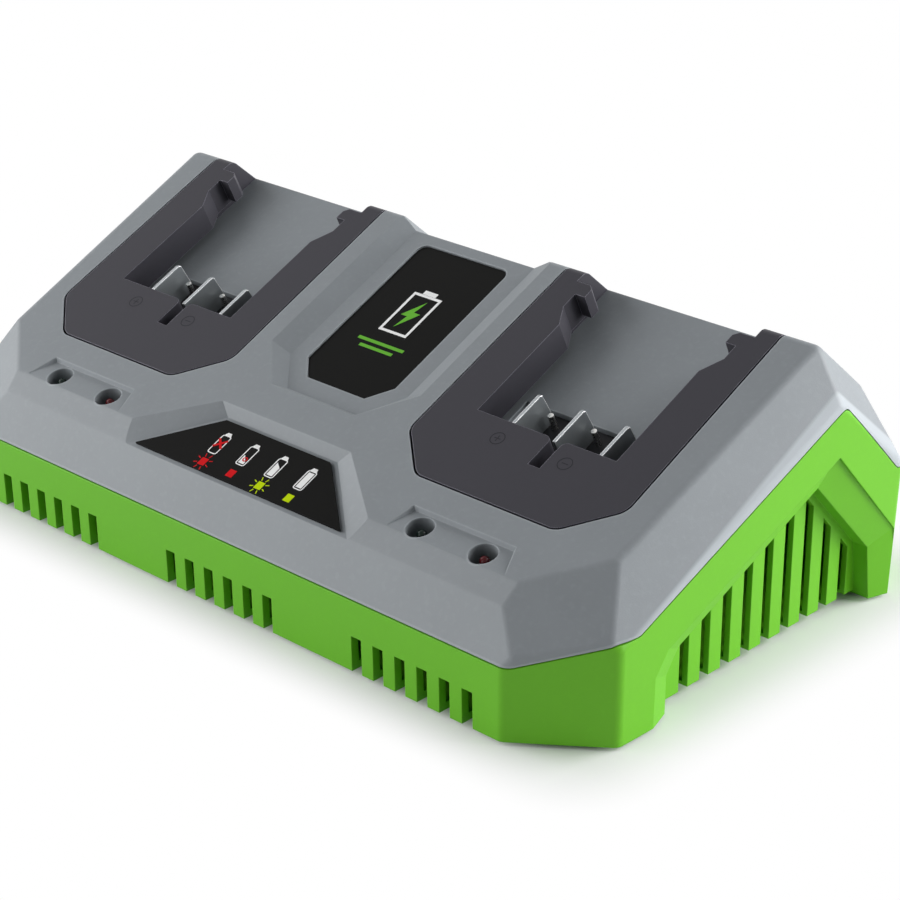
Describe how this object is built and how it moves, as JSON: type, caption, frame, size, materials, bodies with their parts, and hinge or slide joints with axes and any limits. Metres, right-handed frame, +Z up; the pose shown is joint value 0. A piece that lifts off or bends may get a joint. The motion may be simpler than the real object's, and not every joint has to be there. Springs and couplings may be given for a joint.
{
  "type": "power tool battery charger",
  "caption": "Wedge-shaped twin-bay charger: two sloped rail docks with contact blades, charge lights, vented two-tone plastic shells and an inner cooling fan.",
  "frame": {"origin": "centre of the footprint, on the surface the feet stand on", "axes": "+X across the two bays, -Y the vented front, +Y the cord wall, +Z up"},
  "size_m": [0.2656, 0.1559, 0.0826],
  "materials": {
    "green_shell": "satin moulded",
    "grey_shell": "fine spark-eroded texture",
    "dark_trim": "satin moulded",
    "terminal_block": "satin moulded",
    "contact_blade": "bright tinned",
    "contact_pin": "bright tinned",
    "label_plate": "glossy film",
    "indicator_plate": "glossy film",
    "green_light": "tinted lens",
    "red_light": "tinted lens",
    "circuit_board": "solder mask",
    "ferrite": "sintered",
    "choke_winding": "enamelled wire",
    "winding": "taped winding",
    "capacitor_sleeve": "shrink sleeve",
    "heat_sink": "extruded",
    "fan_plastic": "moulded",
    "foot_rubber": "matte",
    "bush_rubber": "matte",
    "screw_steel": "zinc plated"
  },
  "bodies": {
    "charger": {"base_shell": "green_shell", "board_screws": "screw_steel", "bulk_capacitor": "capacitor_sleeve", "case_screws": "screw_steel", "cord_bush": "bush_rubber", "data_pins_left": "contact_pin", "data_pins_right": "contact_pin", "fan_frame": "fan_plastic", "filter_choke": "choke_winding", "green_light_left": "green_light", "green_light_right": "green_light", "heat_sink": "heat_sink", "indicator_plate": "indicator_plate", "label_plate": "label_plate", "light_board_left": "circuit_board", "light_board_right": "circuit_board", "main_board": "circuit_board", "minus_blade_left": "contact_blade", "minus_blade_right": "contact_blade", "plus_blade_left": "contact_blade", "plus_blade_right": "contact_blade", "rail_frame_left": "dark_trim", "rail_frame_right": "dark_trim", "rail_screws": "screw_steel", "red_light_left": "red_light", "red_light_right": "red_light", "rubber_feet": "foot_rubber", "signal_blade_left": "contact_blade", "signal_blade_right": "contact_blade", "terminal_block_left": "terminal_block", "terminal_block_right": "terminal_block", "top_shell": "grey_shell", "transformer_core": "ferrite", "transformer_winding": "winding"},
    "fan": {"fan_rotor": "fan_plastic"}
  },
  "joints": [
    {"name": "fan_spin", "type": "hinge", "parent": "charger", "child": "fan", "pos_m": [-0.11705, 0.01, 0.0232], "axis": [-1, 0, 0], "continuous": true}
  ]
}
